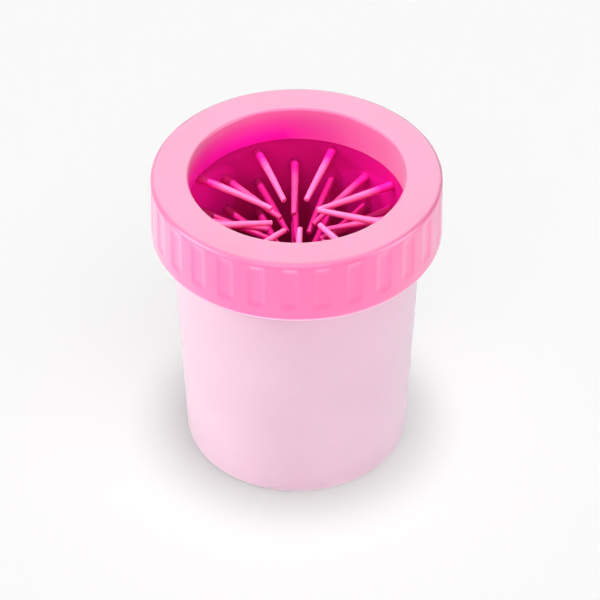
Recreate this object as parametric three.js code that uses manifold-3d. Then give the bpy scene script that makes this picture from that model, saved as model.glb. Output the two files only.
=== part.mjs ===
// Paw washer cup: a tumbler that holds water, a soft bristle liner that hangs inside it, and a wide
// screw ring that clamps the liner's flange on the tumbler's rim.
//
// Millimetres, +Z up. The origin is the centre of the base, on the surface that the cup stands on.
// The ring and the tumbler share a right-hand thread, so the ring unscrews counter-clockwise, seen
// from above. The liner is one silicone moulding: its wall is one piece here, and its bristles are
// vertical columns, each on a slim strip of the wall that it grows from.

import * as THREE from 'three';
import { mergeVertices } from 'three/addons/utils/BufferGeometryUtils.js';
import Module from 'manifold-3d';

const wasm = await Module();
wasm.setup();

// ---------------------------------------------------------------- driving dimensions

const TOTAL_HEIGHT = 101;
const CLEARANCE = 0.3; // between pieces that touch on the real cup

const RING = {
  radius: 44.7,
  topRadius: 44.4, // the outside has a slight draft
  height: 21.5,
  webThickness: 3, // the flat top, from its upper face to the face that presses on the liner
  outerFillet: 2,
  bottomRounding: 1.4,
  boreRadius: 41.6, // inside the threaded skirt
  holeRadius: 33, // the mouth that the paw goes through
  holeRounding: 0.8,
  lipRadius: 33.5, // inside of the short inner skirt, at its lower edge
  lipOuterRadius: 34.6,
  lipDepth: 12.2, // from the top face to the inner skirt's lower edge
};

const FLUTES = {
  count: 28,
  width: 5.4,
  depth: 0.7,
  cutterDepth: 4, // how far the cutter reaches outwards, well past the wall
  topGap: 1, // from the ring's top face to the flutes' upper ends
  bottomGap: 4.8, // from the flutes' lower ends to the ring's lower edge
  phase: THREE.MathUtils.degToRad(-92.7),
};

const CUP = {
  wall: 1.6,
  baseRadius: 35.2,
  shoulderRadius: 38.4, // just under the threaded neck
  baseFillet: 3.6,
  floorThickness: 2.4,
  footInner: 27,
  footRecess: 0.8,
  neckRadius: 39.5,
  neckInner: 37.4,
  neckChamfer: 1,
  insideFillet: 3.5,
};

const LINER = {
  wall: 1.6,
  gapToCup: 0.6,
  bottom: 12,
  hem: 0.8, // how far the hem stands in from the wall
  hemHeight: 3,
  flangeRadius: 39.4,
  flangeThickness: 2.3,
};

const BRISTLES = {
  perRow: 9,
  rows: 12,
  topRowHeight: 84.9,
  rowPitch: 5.9,
  rootRadius: 1.4,
  endRadius: 0.88,
  tipCircle: 8, // radius of the circle that the tips leave free
  droop: 1,
  firstAzimuth: THREE.MathUtils.degToRad(31),
  stripWidth: 3.2,
  stripThickness: 1,
};

const THREAD = {
  lead: 6,
  turns: 1.25,
  ridgeRadius: 1.3,
  cupRidgeHeight: 84, // where the tumbler's ridge starts
  cupRidgeAxis: 39.6,
  ringRidgeAxis: 41.5,
  ringRidgeDrop: 2.2, // the ring's ridge hooks under the tumbler's ridge
};

const CUP_SEGMENTS = 64;
const RING_SEGMENTS = 56; // two for each flute and each land
const LINER_SEGMENTS = 72; // four for each bristle column
const ARC_STEPS = 2; // half the number of edges in a rounded corner
const FLUTE_END_STEPS = 4;
const BRISTLE_SIDES = 6;
const RIDGE_SIDES = 8;
const RIDGE_STEPS_PER_TURN = 40;
const MERGE_TOLERANCE = 1e-4;

// ---------------------------------------------------------------- heights and radii that follow

const ringBottom = TOTAL_HEIGHT - RING.height;
const ringWebUnder = TOTAL_HEIGHT - RING.webThickness;
const lipBottom = TOTAL_HEIGHT - RING.lipDepth;
const flangeTop = ringWebUnder - CLEARANCE;
const flangeBottom = flangeTop - LINER.flangeThickness;
const rimHeight = flangeBottom - CLEARANCE;
const shoulderHeight = ringBottom;
const wallTaper = (CUP.shoulderRadius - CUP.baseRadius) / (shoulderHeight - CUP.baseFillet);

// Radius of the tumbler's inner wall at a height.
function cupInside(height) {
  return CUP.shoulderRadius - CUP.wall + (height - shoulderHeight) * wallTaper;
}

// Radius of the liner's outer wall at a height: it keeps the tumbler's taper.
function linerOutside(height) {
  return cupInside(height) - LINER.gapToCup;
}

// Radius of the liner's inner wall at a height.
function linerInside(height) {
  return linerOutside(height) - LINER.wall;
}

// ---------------------------------------------------------------- shared geometry helpers

// A closed mesh as a solid that can be joined and cut.
function solidFrom(geometry) {
  const bare = geometry.clone();
  bare.deleteAttribute('normal');
  bare.deleteAttribute('uv');
  const merged = mergeVertices(bare, MERGE_TOLERANCE);
  return new wasm.Manifold(new wasm.Mesh({
    numProp: 3,
    vertProperties: new Float32Array(merged.attributes.position.array),
    triVerts: new Uint32Array(merged.index.array),
  }));
}

// A solid as a three.js geometry.
function geometryFrom(solid) {
  const mesh = solid.getMesh();
  const geometry = new THREE.BufferGeometry();
  geometry.setAttribute('position', new THREE.BufferAttribute(mesh.vertProperties, 3));
  geometry.setIndex(new THREE.BufferAttribute(mesh.triVerts, 1));
  geometry.computeVertexNormals();
  return geometry;
}

// A profile of radius and height, turned about the vertical axis.
function turned(profile, segments) {
  const geometry = new THREE.LatheGeometry(profile.getPoints(ARC_STEPS), segments);
  geometry.rotateX(Math.PI / 2);
  return geometry;
}

// The centre line of a thread ridge: a right-hand helix.
class Helix extends THREE.Curve {
  constructor(radius, startHeight, lead, turns) {
    super();
    this.radius = radius;
    this.startHeight = startHeight;
    this.lead = lead;
    this.turns = turns;
  }

  getPoint(t, target = new THREE.Vector3()) {
    const angle = 2 * Math.PI * this.turns * t;
    const height = this.startHeight + this.lead * this.turns * t;
    return target.set(this.radius * Math.cos(angle), this.radius * Math.sin(angle), height);
  }
}

// A round thread ridge: a disc carried along a helix.
function threadRidge(radius, startHeight) {
  const section = new THREE.Shape();
  for (let side = 0; side < RIDGE_SIDES; side += 1) {
    const angle = (2 * Math.PI * side) / RIDGE_SIDES;
    const x = THREAD.ridgeRadius * Math.cos(angle);
    const y = THREAD.ridgeRadius * Math.sin(angle);
    if (side === 0) section.moveTo(x, y);
    else section.lineTo(x, y);
  }
  section.closePath();
  return new THREE.ExtrudeGeometry(section, {
    extrudePath: new Helix(radius, startHeight, THREAD.lead, THREAD.turns),
    steps: Math.round(RIDGE_STEPS_PER_TURN * THREAD.turns),
    bevelEnabled: false,
  });
}

// ---------------------------------------------------------------- materials

const cupPlastic = new THREE.MeshStandardMaterial({ color: 0xf4cfe2, roughness: 0.32, metalness: 0 });
const ringPlastic = new THREE.MeshStandardMaterial({ color: 0xff7dbb, roughness: 0.38, metalness: 0 });
const silicone = new THREE.MeshStandardMaterial({ color: 0xe6007e, roughness: 0.5, metalness: 0 });
const bristleSilicone = new THREE.MeshStandardMaterial({ color: 0xff5fae, roughness: 0.5, metalness: 0 });

// ---------------------------------------------------------------- pieces

// The tumbler: a tapered wall on a rounded foot, a recessed underside, and a straight threaded neck.
function tumbler() {
  const fillet = CUP.baseFillet;
  const inside = CUP.insideFillet;
  const floor = CUP.footRecess + CUP.floorThickness;
  const insideCorner = cupInside(floor + inside);
  const quarter = Math.PI / 2;

  const profile = new THREE.Path();
  profile.moveTo(0, CUP.footRecess);
  profile.lineTo(CUP.footInner - CUP.footRecess, CUP.footRecess);
  profile.lineTo(CUP.footInner, 0);
  profile.absarc(CUP.baseRadius - fillet, fillet, fillet, -quarter, 0, false);
  profile.lineTo(CUP.shoulderRadius, shoulderHeight);
  profile.lineTo(CUP.neckRadius, shoulderHeight + CUP.neckChamfer);
  profile.lineTo(CUP.neckRadius, rimHeight);
  profile.lineTo(CUP.neckInner, rimHeight);
  profile.lineTo(cupInside(shoulderHeight), shoulderHeight);
  profile.absarc(insideCorner - inside, floor + inside, inside, 0, -quarter, true);
  profile.lineTo(0, floor);

  const body = solidFrom(turned(profile, CUP_SEGMENTS));
  const ridge = solidFrom(threadRidge(THREAD.cupRidgeAxis, THREAD.cupRidgeHeight));
  return geometryFrom(body.add(ridge));
}

// One flute of the ring's grip: an upright slot with round ends, cut into the outside.
function fluteCutter() {
  const height = RING.height - FLUTES.topGap - FLUTES.bottomGap;
  const endRadius = FLUTES.width / 2;
  const draft = Math.atan2(RING.radius - RING.topRadius, RING.height);

  const outline = new THREE.Shape();
  outline.absarc(0, height - endRadius, endRadius, 0, Math.PI, false);
  outline.absarc(0, endRadius, endRadius, Math.PI, 2 * Math.PI, false);
  outline.closePath();

  const slot = new THREE.ExtrudeGeometry(outline, {
    depth: FLUTES.cutterDepth,
    bevelEnabled: false,
    curveSegments: FLUTE_END_STEPS,
  });
  slot.rotateX(Math.PI / 2);
  slot.rotateZ(Math.PI / 2);
  slot.rotateY(-draft);
  slot.translate(RING.radius - FLUTES.depth, 0, ringBottom + FLUTES.bottomGap);
  return solidFrom(slot);
}

// The screw ring: a flat top with the mouth in it, a fluted skirt with the thread inside, and a
// short inner skirt that holds the liner's mouth open.
function screwRing() {
  const fillet = RING.outerFillet;
  const foot = RING.bottomRounding;
  const rounding = RING.holeRounding;
  const quarter = Math.PI / 2;

  const profile = new THREE.Path();
  profile.moveTo(RING.boreRadius, ringBottom);
  profile.absarc(RING.radius - foot, ringBottom + foot, foot, -quarter, 0, false);
  profile.absarc(RING.topRadius - fillet, TOTAL_HEIGHT - fillet, fillet, 0, quarter, false);
  profile.absarc(RING.holeRadius + rounding, TOTAL_HEIGHT - rounding, rounding, quarter, 2 * quarter, false);
  profile.lineTo(RING.lipRadius, lipBottom);
  profile.lineTo(RING.lipOuterRadius, lipBottom);
  profile.lineTo(RING.lipOuterRadius, ringWebUnder);
  profile.lineTo(RING.boreRadius, ringWebUnder);
  profile.closePath();

  let body = solidFrom(turned(profile, RING_SEGMENTS));
  const ridgeHeight = THREAD.cupRidgeHeight - THREAD.ringRidgeDrop;
  body = body.add(solidFrom(threadRidge(THREAD.ringRidgeAxis, ridgeHeight)));
  const cutter = fluteCutter();
  for (let index = 0; index < FLUTES.count; index += 1) {
    const azimuth = FLUTES.phase + (2 * Math.PI * index) / FLUTES.count;
    body = body.subtract(cutter.rotate([0, 0, THREE.MathUtils.radToDeg(azimuth)]));
  }
  return geometryFrom(body);
}

// The liner's wall: a clamped flange, a thin tapered sleeve that is open below, and a thicker hem.
function linerSleeve() {
  const hemTop = LINER.bottom + LINER.hemHeight;

  const profile = new THREE.Path();
  profile.moveTo(linerInside(LINER.bottom) - LINER.hem, LINER.bottom);
  profile.lineTo(linerOutside(LINER.bottom), LINER.bottom);
  profile.lineTo(linerOutside(flangeBottom), flangeBottom);
  profile.lineTo(LINER.flangeRadius, flangeBottom);
  profile.lineTo(LINER.flangeRadius, flangeTop);
  profile.lineTo(linerInside(flangeTop), flangeTop);
  profile.lineTo(linerInside(hemTop), hemTop);
  profile.lineTo(linerInside(hemTop) - LINER.hem, hemTop - LINER.hem);
  profile.closePath();
  return turned(profile, LINER_SEGMENTS);
}

// One column of bristles, along +X: a slim strip that follows the liner's wall, and the bristles of
// every second row, which taper and droop towards the middle of the cup.
function bristleColumn(firstRow) {
  const top = BRISTLES.topRowHeight + BRISTLES.rootRadius;
  const bottom = BRISTLES.topRowHeight - BRISTLES.rowPitch * (BRISTLES.rows - 1) - BRISTLES.rootRadius;
  const middle = (top + bottom) / 2;
  const wallAngle = Math.atan(wallTaper);
  const back = linerInside(middle) - CLEARANCE;

  const strip = new THREE.BoxGeometry(BRISTLES.stripThickness, BRISTLES.stripWidth, top - bottom);
  strip.rotateY(wallAngle);
  strip.translate(back - BRISTLES.stripThickness / 2, 0, middle);
  let column = solidFrom(strip);

  for (let row = firstRow; row < BRISTLES.rows; row += 2) {
    const height = BRISTLES.topRowHeight - BRISTLES.rowPitch * row;
    const start = linerInside(height) - CLEARANCE - BRISTLES.stripThickness / 2;
    const reach = start - BRISTLES.tipCircle;
    const length = Math.hypot(reach, BRISTLES.droop);
    const bristle = new THREE.CylinderGeometry(
      BRISTLES.endRadius, BRISTLES.rootRadius, length, BRISTLE_SIDES,
    );
    bristle.translate(0, length / 2, 0);
    bristle.rotateZ(Math.PI / 2);
    bristle.rotateY(-Math.atan2(BRISTLES.droop, reach));
    bristle.translate(start, 0, height);
    column = column.add(solidFrom(bristle));
  }
  return geometryFrom(column);
}

// ---------------------------------------------------------------- assembly

function piece(name, geometry, material) {
  const mesh = new THREE.Mesh(geometry, material);
  mesh.name = name;
  return mesh;
}

const pawWasherCup = new THREE.Group();
pawWasherCup.add(piece('cup', tumbler(), cupPlastic));
pawWasherCup.add(piece('screw_ring', screwRing(), ringPlastic));

const liner = new THREE.Group();
liner.add(piece('liner_sleeve', linerSleeve(), silicone));
const columnShapes = [bristleColumn(0), bristleColumn(1)];
const columnCount = 2 * BRISTLES.perRow;
for (let index = 0; index < columnCount; index += 1) {
  const number = String(index + 1).padStart(2, '0');
  const column = piece(`bristle_column_${number}`, columnShapes[index % 2], bristleSilicone);
  column.rotation.z = BRISTLES.firstAzimuth + (2 * Math.PI * index) / columnCount;
  liner.add(column);
}
pawWasherCup.add(liner);

export default pawWasherCup;
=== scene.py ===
# %% [markdown]
# # A paw washer cup
#
# The object is a small tumbler of moulded plastic with a wide screw ring on top. A soft silicone
# liner hangs inside, with long bristles that point to the middle and scrub a dog's paw.
#
# The frame holds the plain solids of the design and the bodies that move. Everything below is
# built around it, in metres, with the base's centre at the origin and +Z up.

# %% Load the frame
import math

import bpy
import numpy as np
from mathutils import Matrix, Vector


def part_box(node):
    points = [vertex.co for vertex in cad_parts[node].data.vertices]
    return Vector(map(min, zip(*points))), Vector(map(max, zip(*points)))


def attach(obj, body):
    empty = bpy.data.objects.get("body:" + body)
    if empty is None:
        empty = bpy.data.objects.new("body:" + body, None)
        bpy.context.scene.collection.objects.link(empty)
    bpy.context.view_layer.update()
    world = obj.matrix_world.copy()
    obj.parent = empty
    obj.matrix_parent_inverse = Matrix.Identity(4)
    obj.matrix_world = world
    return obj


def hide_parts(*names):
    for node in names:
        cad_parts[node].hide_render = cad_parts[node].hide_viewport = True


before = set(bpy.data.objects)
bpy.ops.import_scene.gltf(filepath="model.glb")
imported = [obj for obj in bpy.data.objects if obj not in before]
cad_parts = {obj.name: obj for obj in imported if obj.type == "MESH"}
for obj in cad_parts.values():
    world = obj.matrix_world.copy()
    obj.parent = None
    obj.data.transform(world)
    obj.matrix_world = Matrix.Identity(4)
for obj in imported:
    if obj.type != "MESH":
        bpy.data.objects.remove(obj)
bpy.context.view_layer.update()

MM = 0.001

# %% [markdown]
# ## Reading sizes from the frame
#
# The heights and the outer radii come from the frame's own pieces, so the looks can't drift away
# from the design. The few sizes that a box can't tell, such as a fillet, are named in millimetres
# where a piece first needs them.

# %% Heights and radii from the frame
ring_low, ring_high = (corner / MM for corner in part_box("screw_ring"))
cup_low, cup_high = (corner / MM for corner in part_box("cup"))
sleeve_low, sleeve_high = (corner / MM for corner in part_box("liner_sleeve"))

TOP = ring_high.z
RING_BOTTOM = ring_low.z
RING_RADIUS = ring_high.x
RIM = cup_high.z
SLEEVE_BOTTOM = sleeve_low.z
FLANGE_TOP = sleeve_high.z
FLANGE_RADIUS = sleeve_high.x
print("ring from", round(RING_BOTTOM, 2), "to", round(TOP, 2), "mm, radius", round(RING_RADIUS, 2))

# %% [markdown]
# ## Turned surfaces with numpy
#
# A tumbler, a ring and a sleeve are all an outline turned about one axis. A Screw modifier could
# do this, but a grid worked out with numpy lets each point move on its own, so flutes and threads
# can be part of the same clean skin. An outline is a short list of corners, each with a fillet,
# and a helper rounds them with true arcs.

# %% An outline with rounded corners
ARC_STEP = math.radians(10)


def unit(vector):
    """A vector scaled to length one."""
    return vector / np.linalg.norm(vector)


def rounded_corner(before, corner, after, fillet):
    """The arc that rounds one corner: it starts fillet / tan(half angle) before the corner, ends as
    far after it, and its centre lies on the corner's bisector."""
    to_before = unit(before - corner)
    to_after = unit(after - corner)
    half_angle = 0.5 * math.acos(np.clip(to_before @ to_after, -1, 1))
    reach = fillet / math.tan(half_angle)
    centre = corner + unit(to_before + to_after) * fillet / math.sin(half_angle)
    turn = math.pi - 2 * half_angle
    steps = max(2, math.ceil(turn / ARC_STEP))
    t = np.linspace(0, 1, steps + 1)[:, None]
    first = corner + to_before * reach - centre
    last = corner + to_after * reach - centre
    return centre + (np.sin((1 - t) * turn) * first + np.sin(t * turn) * last) / math.sin(turn)


def rounded_outline(corners, closed, spacing):
    """Corners of (radius, height, fillet), in millimetres, joined by straight runs and arcs. A run
    longer than spacing is divided evenly."""
    corners = np.array(corners, float)
    parts = []
    for index, (radius, height, fillet) in enumerate(corners):
        is_end = not closed and index in (0, len(corners) - 1)
        here = np.array([radius, height])
        if is_end or fillet == 0:
            parts.append(here[None])
            continue
        after = corners[(index + 1) % len(corners), :2]
        parts.append(rounded_corner(corners[index - 1, :2], here, after, fillet))
    points = np.concatenate(parts)
    if closed:
        points = np.concatenate([points, points[:1]])
    runs = np.linalg.norm(np.diff(points, axis=0), axis=1)
    travelled = np.concatenate([[0], np.cumsum(runs)])
    counts = np.maximum(1, np.ceil(runs / spacing).astype(int))
    stops = [
        np.linspace(travelled[i], travelled[i + 1], counts[i], endpoint=False)
        for i in range(len(runs))
    ]
    if not closed:
        stops.append(travelled[-1:])
    stops = np.concatenate(stops)
    return np.column_stack([np.interp(stops, travelled, points[:, axis]) for axis in (0, 1)])


# %% From a grid of points to a mesh
def mesh_piece(name, vertices, faces):
    """A smooth mesh object at the origin, from points in millimetres and lists of corner numbers."""
    mesh = bpy.data.meshes.new(name)
    mesh.from_pydata((vertices * MM).tolist(), [], faces)
    mesh.polygons.foreach_set("use_smooth", np.ones(len(mesh.polygons), bool))
    mesh.validate()
    piece = bpy.data.objects.new(name, mesh)
    bpy.context.scene.collection.objects.link(piece)
    return piece


def grid_quads(rows, columns, wrap_rows):
    """Corner numbers of the quads between neighbouring rows and columns. Columns always wrap."""
    i = np.arange(rows if wrap_rows else rows - 1)[:, None]
    j = np.arange(columns)[None, :]
    below, above = i * columns, ((i + 1) % rows) * columns
    right = (j + 1) % columns
    return np.stack([below + j, below + right, above + right, above + j], -1).reshape(-1, 4)


def turned_piece(name, radius, height, angle, closed):
    """A skin turned about the Z axis: point (i, j) lies at radius[i, j] and height[i, j], in the
    direction angle[j]. An open outline starts and ends on the axis, where a fan closes each pole."""
    rows, columns = radius.shape
    points = np.stack([radius * np.cos(angle), radius * np.sin(angle), height], -1)
    if closed:
        return mesh_piece(name, points.reshape(-1, 3), grid_quads(rows, columns, True).tolist())
    ring = points[1:-1].reshape(-1, 3)
    poles = np.array([[0, 0, height[0, 0]], [0, 0, height[-1, 0]]])
    faces = grid_quads(rows - 2, columns, False).tolist()
    j = np.arange(columns)
    after = (j + 1) % columns
    first_pole, last_pole = len(ring), len(ring) + 1
    last_row = (rows - 3) * columns
    faces += np.stack([np.full(columns, first_pole), after, j], -1).tolist()
    faces += np.stack([np.full(columns, last_pole), last_row + j, last_row + after], -1).tolist()
    return mesh_piece(name, np.concatenate([ring, poles]), faces)


def smooth_step(value, low, high):
    """0 below low, 1 above high, and a smooth S between them."""
    t = np.clip((value - low) / (high - low), 0, 1)
    return t * t * (3 - 2 * t)


# %% [markdown]
# ## The screw thread
#
# The ring and the tumbler hold together by a right-hand thread with one rounded ridge on each,
# the ring's a little lower so that it hooks under the tumbler's. A ridge could be a tube swept
# along a helix and joined on, but on a grid it is simpler to push the wall out wherever it comes
# near the helix. The ridge then runs out softly at both ends, as a moulded one does.

# %% How near a wall comes to the helix
THREAD_LEAD = 6.0
THREAD_TURNS = 1.25
RIDGE_HALF_WIDTH = 1.35
RIDGE_HEIGHT = 1.35
RIDGE_RUN_OUT = 0.06  # of a turn
RIDGE_FULLNESS = 0.75
CUP_RIDGE_START = 84.0
RING_RIDGE_START = CUP_RIDGE_START - 2.2


def ridge_height(height, angle, start):
    """How far the ridge stands out at a height and an angle. The helix rises one lead for each
    turn; the ridge is a rounded bump across it, and fades at both ends."""
    turn = np.mod(angle, 2 * math.pi) / (2 * math.pi)
    bump = np.zeros(np.broadcast(height, angle).shape)
    for whole in range(math.ceil(THREAD_TURNS)):
        along = turn + whole
        across = (height - start - THREAD_LEAD * along) / RIDGE_HALF_WIDTH
        inside = np.clip(1 - across**2, 0, 1) ** RIDGE_FULLNESS
        left_over = np.minimum(along, THREAD_TURNS - along)
        bump = np.maximum(bump, inside * smooth_step(left_over, 0, RIDGE_RUN_OUT))
    return bump * RIDGE_HEIGHT


# %% [markdown]
# ## The screw ring
#
# One pink moulding: a wide flat top, a round mouth, a short inner skirt that ends in a thin lip,
# and an outer skirt with 28 shallow flutes for the fingers. The outline below runs round the whole
# wall, so the hidden web and the threaded bore are there too. Each flute is a scoop with a
# rounded-rectangle outline, taken out of the outside by moving the grid's points inwards. Columns
# crowd together at the flutes' edges, where the shape turns.

# %% Ring outline
HOLE_RADIUS = 33.0
LIP_RADIUS = 33.5
LIP_OUTER_RADIUS = 34.6
LIP_BOTTOM = TOP - 12.2
WEB_UNDER = TOP - 3.0
BORE_RADIUS = 41.6
RING_TOP_RADIUS = RING_RADIUS - 0.3

ring_outline = rounded_outline(
    [
        (BORE_RADIUS, RING_BOTTOM, 0.3),
        (RING_RADIUS, RING_BOTTOM, 1.4),
        (RING_TOP_RADIUS, TOP, 1.6),
        (HOLE_RADIUS, TOP, 0.8),
        (LIP_RADIUS, LIP_BOTTOM, 0.35),
        (LIP_OUTER_RADIUS, LIP_BOTTOM, 0.35),
        (LIP_OUTER_RADIUS, WEB_UNDER, 0.4),
        (BORE_RADIUS, WEB_UNDER, 0.8),
    ],
    closed=True,
    spacing=0.62,
)
print("ring outline:", len(ring_outline), "points")

# %% Flutes
FLUTE_COUNT = 28
FLUTE_PHASE = math.radians(-92.7)
FLUTE_HALF_WIDTH = 2.7
FLUTE_BOTTOM = RING_BOTTOM + 4.8
FLUTE_TOP = TOP - 1.7
FLUTE_CORNER = 1.3
FLUTE_DEPTH = 0.4
FLUTE_RAMP = 2.2
COLUMNS_PER_FLUTE = 20
COLUMN_CROWDING = 0.6
SAME_RADIUS = 0.01


def flute_angles():
    """Column angles round the ring, closer together a quarter of a flute's pitch to each side of
    its middle: a straight count plus a sine wave of half the pitch."""
    count = FLUTE_COUNT * COLUMNS_PER_FLUTE
    place = np.arange(count) / COLUMNS_PER_FLUTE
    place = place + COLUMN_CROWDING * np.sin(4 * math.pi * place) / (4 * math.pi)
    return FLUTE_PHASE + 2 * math.pi * place / FLUTE_COUNT


def flute_depth(angle, height):
    """Depth of the grip at an angle and a height. The distance inside a rounded rectangle, over the
    ramp's width, drives a scoop that is steepest at its edge and level in its middle."""
    pitch = 2 * math.pi / FLUTE_COUNT
    aside = np.mod(angle - FLUTE_PHASE + pitch / 2, pitch) - pitch / 2
    x = np.abs(aside) * RING_RADIUS - (FLUTE_HALF_WIDTH - FLUTE_CORNER)
    half_height = (FLUTE_TOP - FLUTE_BOTTOM) / 2
    y = np.abs(height - (FLUTE_TOP + FLUTE_BOTTOM) / 2) - (half_height - FLUTE_CORNER)
    outside = np.hypot(np.maximum(x, 0), np.maximum(y, 0))
    inside = FLUTE_CORNER - outside - np.minimum(np.maximum(x, y), 0)
    t = np.clip(inside / FLUTE_RAMP, 0, 1)
    return FLUTE_DEPTH * t * (2 - t)


# %% Ring skin
ring_angle = flute_angles()[None, :]
ring_r = np.repeat(ring_outline[:, :1], ring_angle.size, axis=1)
ring_z = np.repeat(ring_outline[:, 1:], ring_angle.size, axis=1)
on_outside = ring_r > (BORE_RADIUS + RING_TOP_RADIUS) / 2
ring_r = ring_r - np.where(on_outside, flute_depth(ring_angle, ring_z), 0)
on_bore = np.abs(ring_outline[:, :1] - BORE_RADIUS) < SAME_RADIUS
ring_r = ring_r - np.where(on_bore, ridge_height(ring_z, ring_angle, RING_RIDGE_START), 0)

grip_ring = turned_piece("grip_ring", ring_r, ring_z, ring_angle[0], closed=True)
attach(grip_ring, "ring")
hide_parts("screw_ring")
print("grip ring:", len(grip_ring.data.polygons), "faces")

# %% [markdown]
# ## The tumbler
#
# A pale lilac-pink moulding. Its wall widens a little upwards, so that it leaves the mould, and
# turns into the base with a soft round. The underside is recessed behind a flat foot and keeps the
# small mark of the gate where the plastic went in. The straight neck under the ring carries the
# thread, and the liner's flange lies on its rim.

# %% Tumbler outline
BASE_RADIUS = 35.2
SHOULDER_RADIUS = 38.4
NECK_RADIUS = 39.5
NECK_INNER = 37.4
CUP_WALL = 1.6
FOOT_INNER = 27.0
FOOT_RECESS = 0.8
FLOOR_TOP = 3.2
GATE_RADIUS = 2.2
BASE_FILLET = 3.6
WALL_TAPER = (SHOULDER_RADIUS - BASE_RADIUS) / (RING_BOTTOM - BASE_FILLET)


def cup_inside(height):
    """Radius of the tumbler's inner wall: it widens upwards by the taper."""
    return SHOULDER_RADIUS - CUP_WALL + (height - RING_BOTTOM) * WALL_TAPER


foot_wall = BASE_RADIUS - BASE_FILLET * WALL_TAPER
cup_outline = rounded_outline(
    [
        (0, FOOT_RECESS + 0.5, 0),
        (GATE_RADIUS, FOOT_RECESS + 0.5, 0.15),
        (GATE_RADIUS + 0.4, FOOT_RECESS, 0.15),
        (FOOT_INNER - FOOT_RECESS, FOOT_RECESS, 0.3),
        (FOOT_INNER, 0, 0.25),
        (foot_wall, 0, BASE_FILLET),
        (SHOULDER_RADIUS, RING_BOTTOM, 1.0),
        (NECK_RADIUS, RING_BOTTOM + 1.0, 0.6),
        (NECK_RADIUS, RIM, 0.5),
        (NECK_INNER, RIM, 0.5),
        (cup_inside(RING_BOTTOM), RING_BOTTOM, 2.0),
        (cup_inside(FLOOR_TOP), FLOOR_TOP, 3.5),
        (0, FLOOR_TOP, 0),
    ],
    closed=False,
    spacing=1.1,
)
print("tumbler outline:", len(cup_outline), "points")

# %% Tumbler skin
CUP_COLUMNS = 320
NECK_ROWS = 44  # enough to carry the thread ridge
cup_angle = np.arange(CUP_COLUMNS) * 2 * math.pi / CUP_COLUMNS
neck_rows = np.linspace(RING_BOTTOM + 2.0, RIM - 1.0, NECK_ROWS)
neck = np.column_stack([np.full(neck_rows.size, NECK_RADIUS), neck_rows])
on_neck = (cup_outline[:, 0] > NECK_RADIUS - SAME_RADIUS) & (cup_outline[:, 1] > neck_rows[0])
on_neck &= cup_outline[:, 1] < neck_rows[-1]
kept = cup_outline[~on_neck]
split = np.argmax((kept[:, 1] >= neck_rows[-1]) & (kept[:, 0] > NECK_INNER))
cup_rows = np.concatenate([kept[:split], neck, kept[split:]])
cup_r = np.repeat(cup_rows[:, :1], CUP_COLUMNS, axis=1)
cup_z = np.repeat(cup_rows[:, 1:], CUP_COLUMNS, axis=1)
threaded = np.abs(cup_rows[:, :1] - NECK_RADIUS) < SAME_RADIUS
cup_r = cup_r + np.where(threaded, ridge_height(cup_z, cup_angle[None, :], CUP_RIDGE_START), 0)

tumbler = turned_piece("tumbler", cup_r, cup_z, cup_angle, closed=False)
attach(tumbler, "cup")
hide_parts("cup")
print("tumbler:", len(tumbler.data.polygons), "faces")

# %% [markdown]
# ## The liner's wall
#
# A thin silicone sleeve that hangs from a flange between the ring and the rim. It keeps the
# tumbler's taper and ends in a thicker hem, so that its lower edge stays round. Silicone is never
# quite true, so the wall waves in and out by a few hundredths of a millimetre.

# %% Sleeve
LINER_GAP = 0.6
LINER_WALL = 1.6
HEM = 0.8
HEM_HEIGHT = 3.0
FLANGE_BOTTOM = FLANGE_TOP - 2.3
SLEEVE_COLUMNS = 288
WAVE = 0.05
WAVES_ROUND = 3
WAVE_RISE = 17


def liner_inside(height):
    """Radius of the liner's inner wall at a height."""
    return cup_inside(height) - LINER_GAP - LINER_WALL


def liner_outside(height):
    """Radius of the liner's outer wall at a height."""
    return cup_inside(height) - LINER_GAP


sleeve_outline = rounded_outline(
    [
        (liner_inside(SLEEVE_BOTTOM) - HEM, SLEEVE_BOTTOM, 0.8),
        (liner_outside(SLEEVE_BOTTOM), SLEEVE_BOTTOM, 0.8),
        (liner_outside(FLANGE_BOTTOM), FLANGE_BOTTOM, 0.4),
        (FLANGE_RADIUS, FLANGE_BOTTOM, 0.5),
        (FLANGE_RADIUS, FLANGE_TOP, 0.5),
        (liner_inside(FLANGE_TOP), FLANGE_TOP, 0.4),
        (liner_inside(SLEEVE_BOTTOM + HEM_HEIGHT), SLEEVE_BOTTOM + HEM_HEIGHT, 1.0),
        (liner_inside(SLEEVE_BOTTOM) - HEM, SLEEVE_BOTTOM + HEM_HEIGHT - HEM, 0.6),
    ],
    closed=True,
    spacing=1.2,
)
sleeve_angle = np.arange(SLEEVE_COLUMNS) * 2 * math.pi / SLEEVE_COLUMNS
sleeve_r = np.repeat(sleeve_outline[:, :1], SLEEVE_COLUMNS, axis=1)
sleeve_z = np.repeat(sleeve_outline[:, 1:], SLEEVE_COLUMNS, axis=1)
sleeve_r = sleeve_r + WAVE * np.sin(WAVES_ROUND * sleeve_angle + 0.6) * np.sin(sleeve_z / WAVE_RISE)

liner_wall = turned_piece("liner_wall", sleeve_r, sleeve_z, sleeve_angle, closed=True)
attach(liner_wall, "liner")
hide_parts("liner_sleeve")
print("liner wall:", len(liner_wall.data.polygons), "faces")
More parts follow.
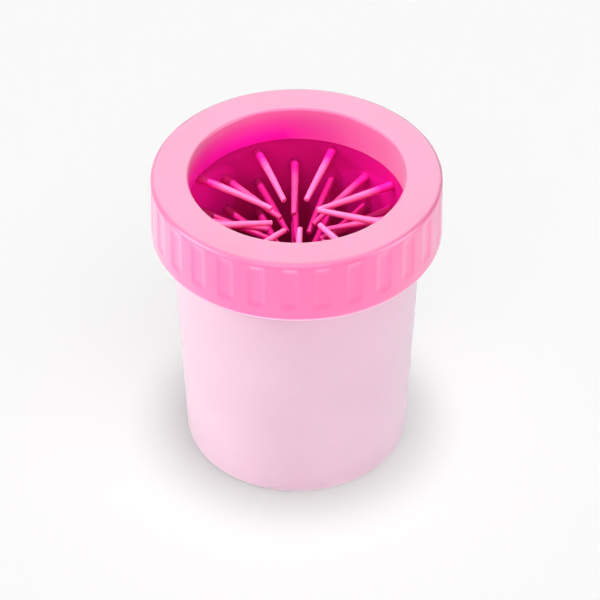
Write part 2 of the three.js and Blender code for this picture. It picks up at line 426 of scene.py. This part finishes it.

# %% [markdown]
# ## The bristles
#
# Nine bristles stand in each row, and each row is turned by half a step against the one above, so
# that they fill the cup evenly. A bristle is a soft tapered rod: it flares where it grows out of
# the wall, sags or rises a little and ends in a flat tip with a rounded edge. All of them are one
# array: a centre line for each bristle, and a circle at each step along it. The top row shows
# most, so the shapes of its nine bristles are listed one by one, and so are those of two behind it
# in the second row. The others vary by a seeded draw.

# %% Bristle sizes
BRISTLES_PER_ROW = 9
BRISTLE_ROWS = 12
TOP_ROW = 84.9
ROW_PITCH = 5.9
FIRST_AZIMUTH = math.radians(31)
ROOT_RADIUS = 1.35
END_RADIUS = 0.86
FLARE = 0.18
FLARE_LENGTH = 1.1
EMBED = 0.5
BRISTLE_SIDES = 14
BODY_RINGS = 11
TIP_RINGS = 3
ROOT_CROWDING = 1.25
TIP_ROUNDING = 0.28
TYPICAL_LENGTH = 25
SAG_POWER = 1.6

# Tip radius, sag, sideways lean and drop of the root of the nine bristles in the top row and the
# first two in the second, counter-clockwise from the first azimuth.
UPPER_BRISTLES = [
    (7.3, -1.2, 0.0, 2.2),
    (9.1, 0.9, 0.0, 0.0),
    (10.0, 1.7, 0.3, 0.0),
    (8.8, 2.0, 0.0, -1.1),
    (7.6, 2.1, -0.2, 0.0),
    (6.1, 2.1, 0.2, 0.0),
    (8.0, -1.1, 0.9, 0.0),
    (10.1, -2.2, 0.35, 0.0),
    (6.6, -2.6, 0.3, 0.0),
    (7.5, 2.3, -0.5, 0.0),
    (9.0, 0.8, 0.75, 0.0),
]
TIP_RADIUS = 8.4
TIP_SPREAD = 0.5
SAG = 1.0
SAG_SPREAD = 0.6
LEAN_SPREAD = 0.5

# %% Each bristle's own place and bend
rng = np.random.default_rng(11)
row = np.repeat(np.arange(BRISTLE_ROWS), BRISTLES_PER_ROW)
step = 2 * math.pi / BRISTLES_PER_ROW
azimuth = FIRST_AZIMUTH + step * (np.tile(np.arange(BRISTLES_PER_ROW), BRISTLE_ROWS) + 0.5 * (row % 2))
root_z = TOP_ROW - ROW_PITCH * row
tip_r = TIP_RADIUS + rng.normal(0, TIP_SPREAD, row.size)
sag = SAG + rng.normal(0, SAG_SPREAD, row.size)
lean = rng.normal(0, LEAN_SPREAD, row.size)
chosen = np.array(UPPER_BRISTLES).T
upper = slice(0, chosen.shape[1])
tip_r[upper], sag[upper], lean[upper] = chosen[:3]
root_z[upper] -= chosen[3]
print("bristles:", row.size)


# %% Bristle skins, all at once
def bristle_points():
    """Points of every bristle, as [bristle, ring, side, xyz]. Along the centre line, t runs from 0
    in the wall to 1 at the tip: the radius falls evenly, the sag grows as t to the power SAG_POWER,
    and the lean as t squared. The thickness is a straight taper plus a flare that dies away from the
    root, and the last rings close in on a quarter circle to round the tip's edge."""
    body = np.linspace(0, 1, BODY_RINGS) ** ROOT_CROWDING
    tip_edge = np.linspace(0, math.pi / 2, TIP_RINGS + 1)[1:]
    wall_r = liner_inside(root_z)[:, None]
    length = wall_r + EMBED - tip_r[:, None]
    edge_share = TIP_ROUNDING / TYPICAL_LENGTH
    closing = 1 - edge_share + edge_share * np.sin(tip_edge)
    t = np.concatenate([body * (1 - edge_share), closing])[None, :]
    reach = wall_r + EMBED - length * t
    height = root_z[:, None] - sag[:, None] * t**SAG_POWER
    aside = lean[:, None] * t**2
    along = length * t
    thick = ROOT_RADIUS + (END_RADIUS - ROOT_RADIUS) * t
    thick = thick + FLARE * np.exp(-np.maximum(along - EMBED, 0) / FLARE_LENGTH)
    rounding = np.concatenate([np.zeros(body.size), TIP_ROUNDING * (1 - np.cos(tip_edge))])
    thick = thick - rounding[None, :]

    fall = np.gradient(height, axis=1) / np.gradient(reach, axis=1)
    scale = 1 / np.hypot(1, fall)
    turn = np.arange(BRISTLE_SIDES) * 2 * math.pi / BRISTLE_SIDES
    out = np.cos(turn)[None, None, :] * thick[:, :, None]
    side = np.sin(turn)[None, None, :] * thick[:, :, None]
    r = reach[:, :, None] - out * (fall * scale)[:, :, None]
    z = height[:, :, None] + out * scale[:, :, None]
    s = aside[:, :, None] + side
    ca, sa = np.cos(azimuth)[:, None, None], np.sin(azimuth)[:, None, None]
    return np.stack([r * ca - s * sa, r * sa + s * ca, z], -1)


points = bristle_points()
count, rings, sides, _ = points.shape
tip_centres = points[:, -1].mean(axis=1)
root_centres = points[:, 0].mean(axis=1)
vertices = np.concatenate([points.reshape(-1, 3), tip_centres, root_centres])
first = np.arange(count)[:, None, None] * rings * sides
quads = (grid_quads(rings, sides, False)[None] + first).reshape(-1, 4)
j = np.arange(sides)
last_ring = first[:, :, 0] + (rings - 1) * sides
tip_number = count * rings * sides + np.arange(count)[:, None]
tips = np.stack(np.broadcast_arrays(tip_number, last_ring + j, last_ring + (j + 1) % sides), -1)
roots = np.stack(
    np.broadcast_arrays(tip_number + count, first[:, :, 0] + (j + 1) % sides, first[:, :, 0] + j), -1
)
faces = quads.tolist() + tips.reshape(-1, 3).tolist() + roots.reshape(-1, 3).tolist()
bristles = mesh_piece("bristles", vertices, faces)
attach(bristles, "liner")
column_nodes = sorted(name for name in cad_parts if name.startswith("bristle_column"))
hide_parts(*column_nodes)
print("bristles:", len(bristles.data.polygons), "faces, in place of", len(column_nodes), "columns")

# %% [markdown]
# ## Plastic and silicone
#
# Both are one colour all through, and light enters them and comes back out. So each finish is a
# Principled shader with some subsurface light. Its colour drifts a little with the flow of the
# melt, its gloss varies where hands have polished it, and a very fine bump breaks up the
# reflections as a moulded skin does. The hard plastics also have a pale sheen, which veils their
# edges as fine dust and wear do; the silicone has none.
#
# Between pink walls light bounces until only its pink is left, so colours deepen in the mouth, and
# little light reaches far down. A few bounces would give only part of that, so shade is painted into
# each finish by place: the ring's wall below its top face, the liner's and the bristles' further
# down, and the bristles' towards their roots, where the ring's shadow falls. The ring's wall also
# takes a painted lighter pink, which shows at its top edge and on the side that faces the left
# light, and the bristles wear a lighter copy of the liner's silicone: painted light on them.


# %% A moulded finish
FLOW_SCALE = 38
POLISH_SCALE = 150
SKIN_SCALE = 2600
SKIN_STRENGTH = 0.6
SHEEN_ROUGHNESS = 0.6
PLASTIC_IOR = 1.5
GLOW_SPREAD = (1.0, 0.35, 0.55)  # how far red, green and blue light travel inside


def link(tree, source, target):
    """Joins one node's output to another's input."""
    tree.links.new(source, target)


def noise(tree, coordinates, scale, detail):
    """A noise texture on object coordinates."""
    node = tree.nodes.new("ShaderNodeTexNoise")
    node.inputs["Scale"].default_value = scale
    node.inputs["Detail"].default_value = detail
    link(tree, coordinates, node.inputs["Vector"])
    return node.outputs["Fac"]


def ramp(tree, factor, stops):
    """A colour ramp of (place, colour) stops, driven by a factor."""
    node = tree.nodes.new("ShaderNodeValToRGB")
    elements = node.color_ramp.elements
    elements[0].position, elements[0].color = stops[0][0], (*stops[0][1], 1)
    elements[1].position, elements[1].color = stops[-1][0], (*stops[-1][1], 1)
    for place, colour in stops[1:-1]:
        elements.new(place).color = (*colour, 1)
    link(tree, factor, node.inputs["Fac"])
    return node.outputs["Color"]


def moulded_finish(name, deep, light, rough, glow, glow_depth, grain, gloss, veil):
    """A finish whose colour drifts from deep to light, with roughness from rough[0] to rough[1],
    subsurface weight glow at glow_depth metres, grain as the fine bump's distance in metres, and
    veil as the weight of a soft pale sheen."""
    material = bpy.data.materials.new(name)
    material.use_nodes = True
    tree = material.node_tree
    shader = tree.nodes["Principled BSDF"]
    coordinates = tree.nodes.new("ShaderNodeTexCoord").outputs["Object"]

    flow = noise(tree, coordinates, FLOW_SCALE, 3)
    link(tree, ramp(tree, flow, [(0.3, deep), (0.7, light)]), shader.inputs["Base Color"])

    polish = noise(tree, coordinates, POLISH_SCALE, 4)
    spread = tree.nodes.new("ShaderNodeMapRange")
    spread.inputs["To Min"].default_value = rough[0]
    spread.inputs["To Max"].default_value = rough[1]
    link(tree, polish, spread.inputs["Value"])
    link(tree, spread.outputs["Result"], shader.inputs["Roughness"])

    skin = noise(tree, coordinates, SKIN_SCALE, 2)
    bump = tree.nodes.new("ShaderNodeBump")
    bump.inputs["Strength"].default_value = SKIN_STRENGTH
    bump.inputs["Distance"].default_value = grain
    link(tree, skin, bump.inputs["Height"])
    link(tree, bump.outputs["Normal"], shader.inputs["Normal"])

    shader.inputs["IOR"].default_value = PLASTIC_IOR
    shader.inputs["Specular IOR Level"].default_value = gloss
    shader.inputs["Subsurface Weight"].default_value = glow
    shader.inputs["Subsurface Scale"].default_value = glow_depth
    shader.inputs["Subsurface Radius"].default_value = GLOW_SPREAD
    shader.inputs["Sheen Weight"].default_value = veil
    shader.inputs["Sheen Roughness"].default_value = SHEEN_ROUGHNESS
    return material


# %% Colour that changes with place
def depth_below(tree, coordinates, high, low):
    """0 above the height high and 1 below the height low, in millimetres, with a soft step."""
    parts = tree.nodes.new("ShaderNodeSeparateXYZ")
    link(tree, coordinates, parts.inputs["Vector"])
    below = tree.nodes.new("ShaderNodeMapRange")
    below.interpolation_type = "SMOOTHSTEP"
    below.inputs["From Min"].default_value = high * MM
    below.inputs["From Max"].default_value = low * MM
    link(tree, parts.outputs["Z"], below.inputs["Value"])
    return below.outputs["Result"]


def way_out(tree, coordinates, near, far):
    """0 at the distance near from the cup's axis and 1 at the distance far, in millimetres."""
    flat = tree.nodes.new("ShaderNodeVectorMath")
    flat.operation = "MULTIPLY"
    flat.inputs[1].default_value = (1, 1, 0)
    link(tree, coordinates, flat.inputs[0])
    radius = tree.nodes.new("ShaderNodeVectorMath")
    radius.operation = "LENGTH"
    link(tree, flat.outputs["Vector"], radius.inputs[0])
    out = tree.nodes.new("ShaderNodeMapRange")
    out.inputs["From Min"].default_value = near * MM
    out.inputs["From Max"].default_value = far * MM
    link(tree, radius.outputs["Value"], out.inputs["Value"])
    return out.outputs["Result"]


def times(tree, first, second):
    """The product of two values."""
    node = tree.nodes.new("ShaderNodeMath")
    node.operation = "MULTIPLY"
    link(tree, first, node.inputs[0])
    link(tree, second, node.inputs[1])
    return node.outputs["Value"]


def mix_base(tree, factor, colour):
    """Mixes a colour into the finish's own by a factor."""
    base = tree.nodes["Principled BSDF"].inputs["Base Color"]
    mix = tree.nodes.new("ShaderNodeMixRGB")
    mix.inputs["Color2"].default_value = (*colour, 1)
    link(tree, factor, mix.inputs["Fac"])
    link(tree, base.links[0].from_socket, mix.inputs["Color1"])
    link(tree, mix.outputs["Color"], base)


def move_value(tree, factor, name, end):
    """Moves one of the shader's plain values from what it is now to another by a factor."""
    value = tree.nodes["Principled BSDF"].inputs[name]
    between = tree.nodes.new("ShaderNodeMapRange")
    between.inputs["To Min"].default_value = value.default_value
    between.inputs["To Max"].default_value = end
    link(tree, factor, between.inputs["Value"])
    link(tree, between.outputs["Result"], value)


def paint_shade_below(material, colour, high, low):
    """Paints shade into a finish: it deepens to a colour between two heights, as little light comes
    that far down.
    """
    tree = material.node_tree
    coordinates = tree.nodes.new("ShaderNodeTexCoord").outputs["Object"]
    mix_base(tree, depth_below(tree, coordinates, high, low), colour)


def paint_root_shade(material, colour, near, far):
    """Paints shade into a finish: it deepens to a colour between two distances from the axis, towards
    the wall, where less light comes.
    """
    tree = material.node_tree
    coordinates = tree.nodes.new("ShaderNodeTexCoord").outputs["Object"]
    mix_base(tree, way_out(tree, coordinates, near, far), colour)


def paint_mouth_light_and_shade(material, painted_lit_colour, colour):
    """Paints light and shade into the wall inside the mouth. Below the top face the wall takes a
    painted lighter pink, painted_lit_colour; then painted shade deepens it to the second colour from
    MOUTH_FADE_FROM to MOUTH_FADE millimetres down, and takes off its sheen and most of its gloss, as
    that wall is lit mostly by its own pink. The wall on the +X side, which faces the left light, gets
    little of the painted shade, so its painted lighter pink shows there."""
    tree = material.node_tree
    coordinates = tree.nodes.new("ShaderNodeTexCoord").outputs["Object"]
    inside = way_out(tree, coordinates, LIP_OUTER_RADIUS + 0.6, LIP_OUTER_RADIUS)
    rim = times(tree, inside, depth_below(tree, coordinates, TOP, TOP - 1))
    parts = tree.nodes.new("ShaderNodeSeparateXYZ")
    link(tree, coordinates, parts.inputs["Vector"])
    aside = tree.nodes.new("ShaderNodeMapRange")
    aside.inputs["From Min"].default_value = MOUTH_LIT_FROM * MM
    aside.inputs["From Max"].default_value = MOUTH_LIT_TO * MM
    aside.inputs["To Min"].default_value = 1.0
    aside.inputs["To Max"].default_value = MOUTH_LIT_SHARE
    link(tree, parts.outputs["X"], aside.inputs["Value"])

    wall = times(tree, inside, aside.outputs["Result"])
    fade = depth_below(tree, coordinates, TOP - MOUTH_FADE_FROM, TOP - MOUTH_FADE)
    # Painted lighter pink first, then painted shade over it, which thins out towards +X.
    mix_base(tree, rim, painted_lit_colour)
    mix_base(tree, times(tree, wall, fade), colour)
    edge = times(tree, wall, depth_below(tree, coordinates, TOP, TOP - MOUTH_EDGE))
    move_value(tree, edge, "Sheen Weight", 0.0)
    move_value(tree, edge, "Specular IOR Level", MOUTH_GLOSS)


# %% The four finishes
# Painted light and shade: the mouth's lighter pink and shade, and how far down the painted shade
# reaches on the liner and the bristles.
MOUTH_FADE_FROM = 0.5
MOUTH_FADE = 11.0
MOUTH_EDGE = 5.0
MOUTH_GLOSS = 0.2
MOUTH_LIT_FROM = -4.0
MOUTH_LIT_TO = 24.0
MOUTH_LIT_SHARE = 0.1
LINER_FADE = (TOP - 21, TOP - 48)
BRISTLE_FADE = (TOP - 17, TOP - 25)
ROOT_FADE = (25, 30)

ring_finish = moulded_finish(
    "pink_plastic",
    deep=(0.98, 0.08, 0.36),
    light=(1.0, 0.1, 0.39),
    rough=(0.3, 0.42),
    glow=0.25,
    glow_depth=0.003,
    grain=0.00002,
    gloss=0.6,
    veil=0.7,
)
# The ring's mouth: a painted lighter pink, and painted shade below the top face.
paint_mouth_light_and_shade(ring_finish, (1.0, 0.12, 0.46), (1.0, 0.004, 0.48))
cup_finish = moulded_finish(
    "pale_pink_plastic",
    deep=(0.81, 0.49, 0.635),
    light=(0.86, 0.53, 0.675),
    rough=(0.28, 0.38),
    glow=0.3,
    glow_depth=0.004,
    grain=0.00002,
    gloss=0.5,
    veil=0.5,
)
silicone_finish = moulded_finish(
    "magenta_silicone",
    deep=(0.72, 0.0005, 0.27),
    light=(0.8, 0.001, 0.31),
    rough=(0.45, 0.55),
    glow=0.35,
    glow_depth=0.003,
    grain=0.00003,
    gloss=0.15,
    veil=0.0,
)
# Painted shade: the liner darkens further down, where little light reaches.
paint_shade_below(silicone_finish, (0.4, 0.0002, 0.13), *LINER_FADE)
# The bristles are the same silicone as the liner; this lighter copy of it is painted light, for the
# light that falls on them.
bristle_finish = moulded_finish(
    "bristle_silicone_painted_light",
    deep=(0.97, 0.125, 0.38),
    light=(1.0, 0.15, 0.42),
    rough=(0.45, 0.55),
    glow=0.35,
    glow_depth=0.002,
    grain=0.00003,
    gloss=0.25,
    veil=0.0,
)
# Painted shade: the bristles deepen towards their roots, where the ring's shadow falls.
paint_root_shade(bristle_finish, (0.86, 0.001, 0.33), *ROOT_FADE)
# Painted shade: the lower rows of bristles darken, as less light reaches them.
paint_shade_below(bristle_finish, (0.6, 0.002, 0.21), *BRISTLE_FADE)
finishes = {
    grip_ring: ring_finish,
    tumbler: cup_finish,
    liner_wall: silicone_finish,
    bristles: bristle_finish,
}
for piece, finish in finishes.items():
    piece.data.materials.append(finish)
    print(piece.name, "wears", finish.name)

# %% [markdown]
# ## Floor, light and camera
#
# A plain pale floor and a white room give the soft light of a product table. Each light does one
# job, and light linking keeps it to that job:
#
# - broad lights from the left, the right and the front shape the cup and the ring;
# - one from below gives the ring's side the light that the table throws back;
# - the floor has its own lights: one brightens it evenly and casts no shadow, and the others cast
#   the soft shade around the foot and behind;
# - narrow spots reach into the mouth, one for the liner and its bristles, one for the liner's
#   left side, and two for the ring's inner wall;
# - five large panels show only in the gloss, as softboxes do.

# %% Floor
FLOOR_SIZE = 6.0
floor_mesh = bpy.data.meshes.new("floor")
half = FLOOR_SIZE / 2
corners = [(-half, -half, 0), (half, -half, 0), (half, half, 0), (-half, half, 0)]
floor_mesh.from_pydata(corners, [], [(0, 1, 2, 3)])
floor = bpy.data.objects.new("floor", floor_mesh)
bpy.context.scene.collection.objects.link(floor)
floor_finish = bpy.data.materials.new("white_table")
floor_finish.use_nodes = True
floor_shader = floor_finish.node_tree.nodes["Principled BSDF"]
floor_shader.inputs["Base Color"].default_value = (0.35, 0.35, 0.35, 1)
floor_shader.inputs["Roughness"].default_value = 0.9
floor_shader.inputs["Specular IOR Level"].default_value = 0.0
floor_mesh.materials.append(floor_finish)


# %% Kinds of light
SUN_DISTANCE = 2.0
PANEL_DISTANCE = 1.2
SPOT_DISTANCE = 1.2
SPOT_BLEND = 0.2
SPOT_SIZE = 0.004  # a small source keeps the edge of its circle sharp


def sky(colour, strength):
    """An even white room."""
    world = bpy.data.worlds.new("white_room")
    world.use_nodes = True
    background = world.node_tree.nodes["Background"]
    background.inputs["Color"].default_value = (*colour, 1)
    background.inputs["Strength"].default_value = strength
    bpy.context.scene.world = world


def aim(piece, azimuth_deg, elevation_deg, distance):
    """Places a light in a direction from the cup and turns it to face the cup's middle."""
    azimuth_rad, elevation_rad = math.radians(azimuth_deg), math.radians(elevation_deg)
    middle = TOP * MM / 2
    piece.location = (
        distance * math.cos(elevation_rad) * math.cos(azimuth_rad),
        distance * math.cos(elevation_rad) * math.sin(azimuth_rad),
        middle + distance * math.sin(elevation_rad),
    )
    piece.rotation_euler = (math.pi / 2 - elevation_rad, 0, azimuth_rad + math.pi / 2)


def broad_sun(name, azimuth_deg, elevation_deg, strength, spread_deg):
    """A distant soft light, even over the whole table."""
    lamp = bpy.data.lights.new(name, "SUN")
    lamp.energy = strength
    lamp.angle = math.radians(spread_deg)
    piece = bpy.data.objects.new(name, lamp)
    bpy.context.scene.collection.objects.link(piece)
    aim(piece, azimuth_deg, elevation_deg, SUN_DISTANCE)
    return piece


def gloss_panel(name, azimuth_deg, elevation_deg, width, height, power):
    """A softbox that shows in the gloss only."""
    lamp = bpy.data.lights.new(name, "AREA")
    lamp.shape = "RECTANGLE"
    lamp.size, lamp.size_y = width, height
    lamp.energy = power
    piece = bpy.data.objects.new(name, lamp)
    piece.visible_diffuse = False
    bpy.context.scene.collection.objects.link(piece)
    aim(piece, azimuth_deg, elevation_deg, PANEL_DISTANCE)
    return piece


def mouth_spot(name, azimuth_deg, elevation_deg, radius, power):
    """A narrow spot on the mouth, aimed at the middle of the top face. The radius is that of its
    circle there, in metres."""
    lamp = bpy.data.lights.new(name, "SPOT")
    lamp.energy = power
    lamp.spot_size = 2 * math.atan2(radius, SPOT_DISTANCE)
    lamp.spot_blend = SPOT_BLEND
    lamp.shadow_soft_size = SPOT_SIZE
    piece = bpy.data.objects.new(name, lamp)
    bpy.context.scene.collection.objects.link(piece)
    aim(piece, azimuth_deg, elevation_deg, SPOT_DISTANCE)
    piece.location.z += TOP * MM / 2
    return piece


def reached_by(name, pieces):
    """A collection of the pieces that a light reaches, or of those that can block it."""
    group = bpy.data.collections.new(name)
    for piece in pieces:
        group.objects.link(piece)
    return group


# %% The lights
cup_pieces = reached_by("cup_pieces", finishes)
ring_piece = reached_by("ring_piece", [grip_ring])
liner_pieces = reached_by("liner_pieces", [liner_wall, bristles])
liner_only = reached_by("liner_only", [liner_wall])
ring_and_liner = reached_by("ring_and_liner", [grip_ring, liner_wall])
table = reached_by("table", [floor])

sky((1.0, 1.0, 1.0), 0.24)
left_light = broad_sun("left_light", 182, 30, 1.4, 25)
low_left_light = broad_sun("low_left_light", 216, 8, 0.65, 30)
right_light = broad_sun("right_light", -15, 12, 1.1, 40)
front_light = broad_sun("front_light", 262, 40, 0.84, 40)
for piece in (left_light, low_left_light, right_light, front_light):
    piece.light_linking.receiver_collection = cup_pieces
bounce_light = broad_sun("bounce_light", 245, -78, 1.6, 40)
bounce_light.light_linking.receiver_collection = ring_piece
bounce_light.light_linking.blocker_collection = cup_pieces
floor_light = broad_sun("floor_light", 0, 90, 3.5, 10)
floor_light.light_linking.receiver_collection = table
floor_light.light_linking.blocker_collection = table
contact_light = broad_sun("contact_light", 0, 90, 2.8, 14)
contact_light.light_linking.receiver_collection = table
shade_light = broad_sun("shade_light", -50, 62, 0.8, 40)
shade_light.light_linking.receiver_collection = table
rear_shade_light = broad_sun("rear_shade_light", 270, 52, 1.0, 45)
rear_shade_light.light_linking.receiver_collection = table
mouth_light = mouth_spot("mouth_light", 180, 79, 0.045, 70)
mouth_light.light_linking.receiver_collection = liner_pieces
mouth_glow = mouth_spot("mouth_glow", 290, 45, 0.023, 22)
mouth_glow.light_linking.receiver_collection = ring_piece
liner_glow = mouth_spot("liner_glow", 20, 60, 0.045, 37)
liner_glow.light_linking.receiver_collection = liner_only
liner_glow.light_linking.blocker_collection = ring_and_liner
left_glow = mouth_spot("left_glow", 0, 45, 0.023, 9)
left_glow.light_linking.receiver_collection = ring_piece
gloss_panel("back_panel", 90, 40, 2.4, 0.9, 36)
gloss_panel("overhead_panel", 90, 92, 1.8, 1.1, 27)
gloss_panel("front_panel", 270, 32, 1.8, 1.3, 24)
gloss_panel("left_panel", 195, 15, 0.8, 0.9, 20)
gloss_panel("right_panel", -15, 15, 0.8, 0.9, 16)

# %% Camera
CAMERA_PITCH = math.radians(39.83)
CAMERA_DISTANCE = 1.0
TARGET = (1.03 * MM, 0.0, 51.0 * MM)
camera_data = bpy.data.cameras.new("camera")
camera_data.lens = 191.4
camera_data.sensor_width = 36
camera = bpy.data.objects.new("camera", camera_data)
camera.location = (
    TARGET[0],
    -CAMERA_DISTANCE * math.cos(CAMERA_PITCH),
    TARGET[2] + CAMERA_DISTANCE * math.sin(CAMERA_PITCH),
)
camera.rotation_euler = (math.pi / 2 - CAMERA_PITCH, 0, 0)
bpy.context.scene.collection.objects.link(camera)
bpy.context.scene.camera = camera
bpy.context.scene.view_settings.view_transform = "Standard"
